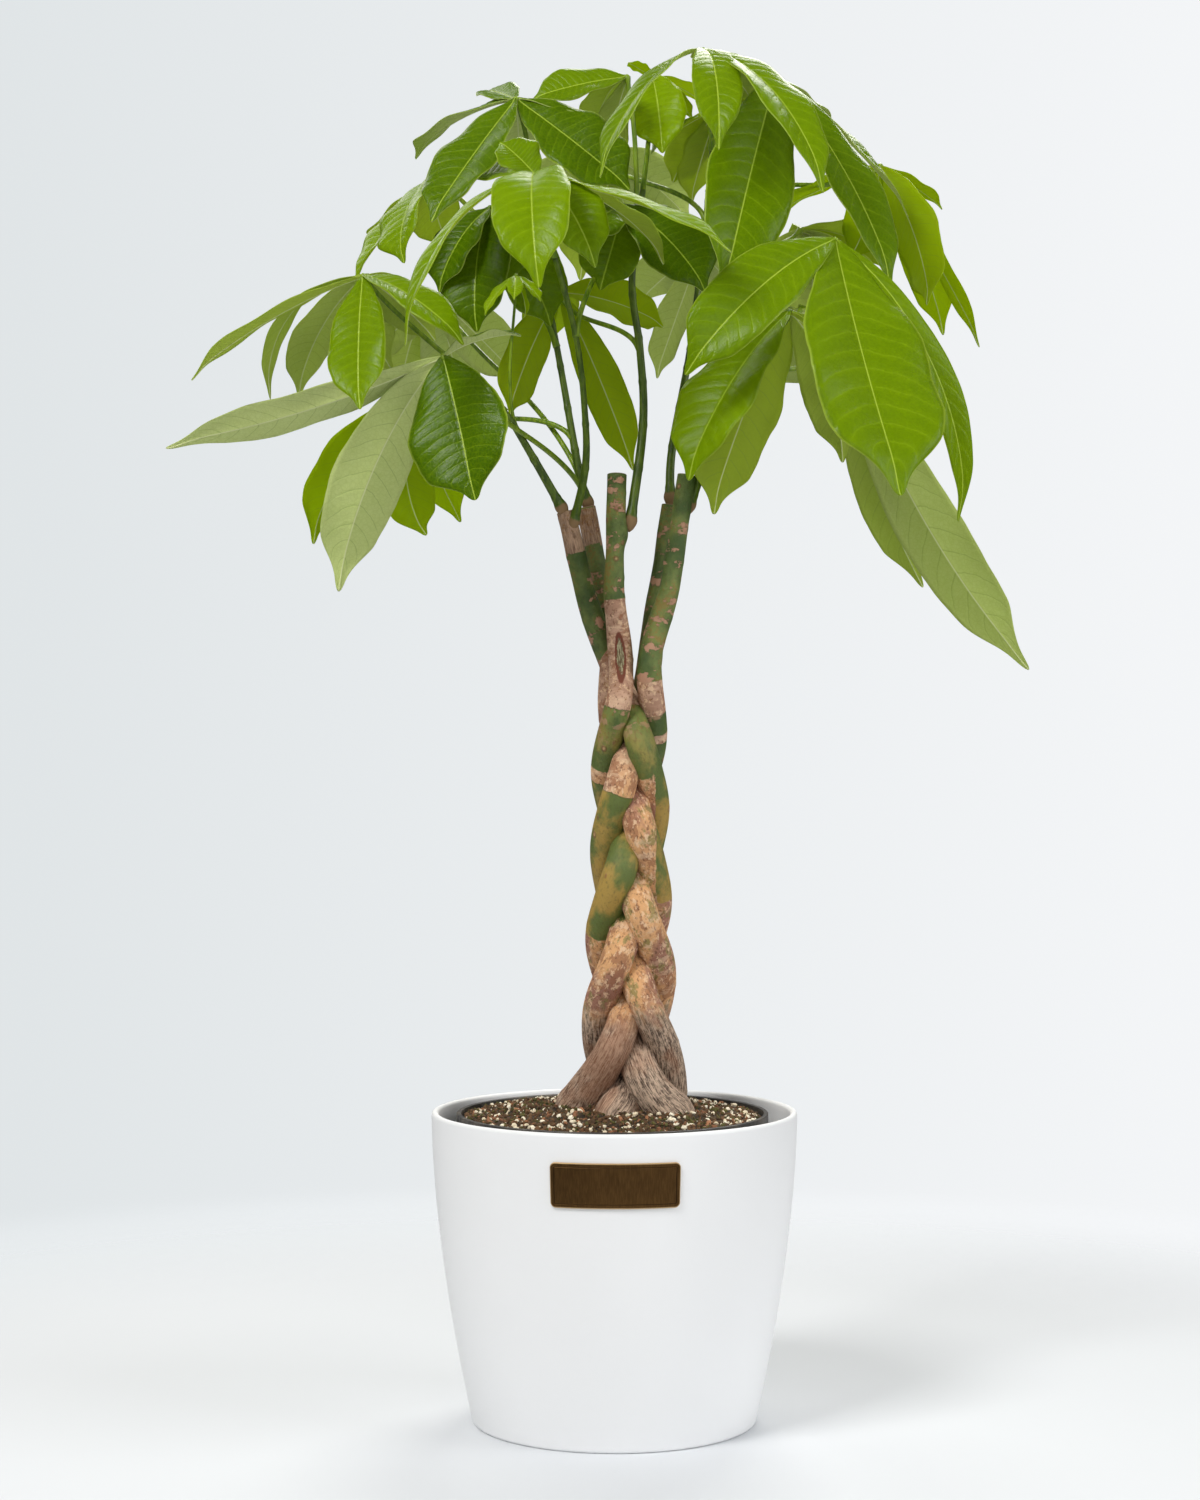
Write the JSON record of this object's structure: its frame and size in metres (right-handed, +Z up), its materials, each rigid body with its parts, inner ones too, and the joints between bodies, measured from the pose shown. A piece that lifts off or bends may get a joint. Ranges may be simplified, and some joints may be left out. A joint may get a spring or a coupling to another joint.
{
  "type": "potted money tree",
  "caption": "Young money tree with a braided trunk and drooping palmate leaves, in a nursery pot of soil inside a plain tapered planter.",
  "frame": {"origin": "centre of the planter's underside, on the surface it stands on", "axes": "+Z up along the planter's axis; the front with the small plate faces -Y; +X is to the right seen from the front"},
  "size_m": [0.6705, 0.5561, 1.055],
  "materials": {
    "planter": "smooth matte white",
    "nursery_pot": "thin dark plastic",
    "brass_plate": "dark brushed bronze tone",
    "soil": "loose peat with pale perlite",
    "bark": "smooth mottled bark, green to tan",
    "green_shoot": "satin green stem",
    "leaf": "glossy above, matte below"
  },
  "bodies": {
    "root": {"planter": "planter", "nursery_pot": "nursery_pot", "brass_plate": "brass_plate", "soil": "soil", "trunk_centre": "bark", "trunk_left": "bark", "trunk_back_left": "bark", "trunk_right": "bark", "trunk_back_right": "bark", "shoot_left": "green_shoot", "shoot_front": "green_shoot", "shoot_back_left": "green_shoot", "shoot_centre": "green_shoot", "shoot_back_right": "green_shoot", "shoot_right": "green_shoot", "leaf_crown_left": "leaf", "leaf_front": "leaf", "leaf_left": "leaf", "leaf_left_low": "leaf", "leaf_top": "leaf", "leaf_upper_right": "leaf", "leaf_right_front": "leaf", "leaf_right_low": "leaf", "leaf_right_long": "leaf", "leaf_right_back": "leaf", "leaf_young": "leaf", "leaf_top_back": "leaf", "leaf_top_middle": "leaf", "leaf_top_inner": "leaf", "leaf_left_high": "leaf", "leaf_left_inner": "leaf", "leaf_left_back": "leaf", "leaf_inner": "leaf", "leaf_inner_right": "leaf", "leaf_back_top": "leaf", "leaf_back_left": "leaf", "leaf_back_middle": "leaf", "leaf_back_right": "leaf", "leaf_back_low": "leaf"}
  },
  "joints": []
}
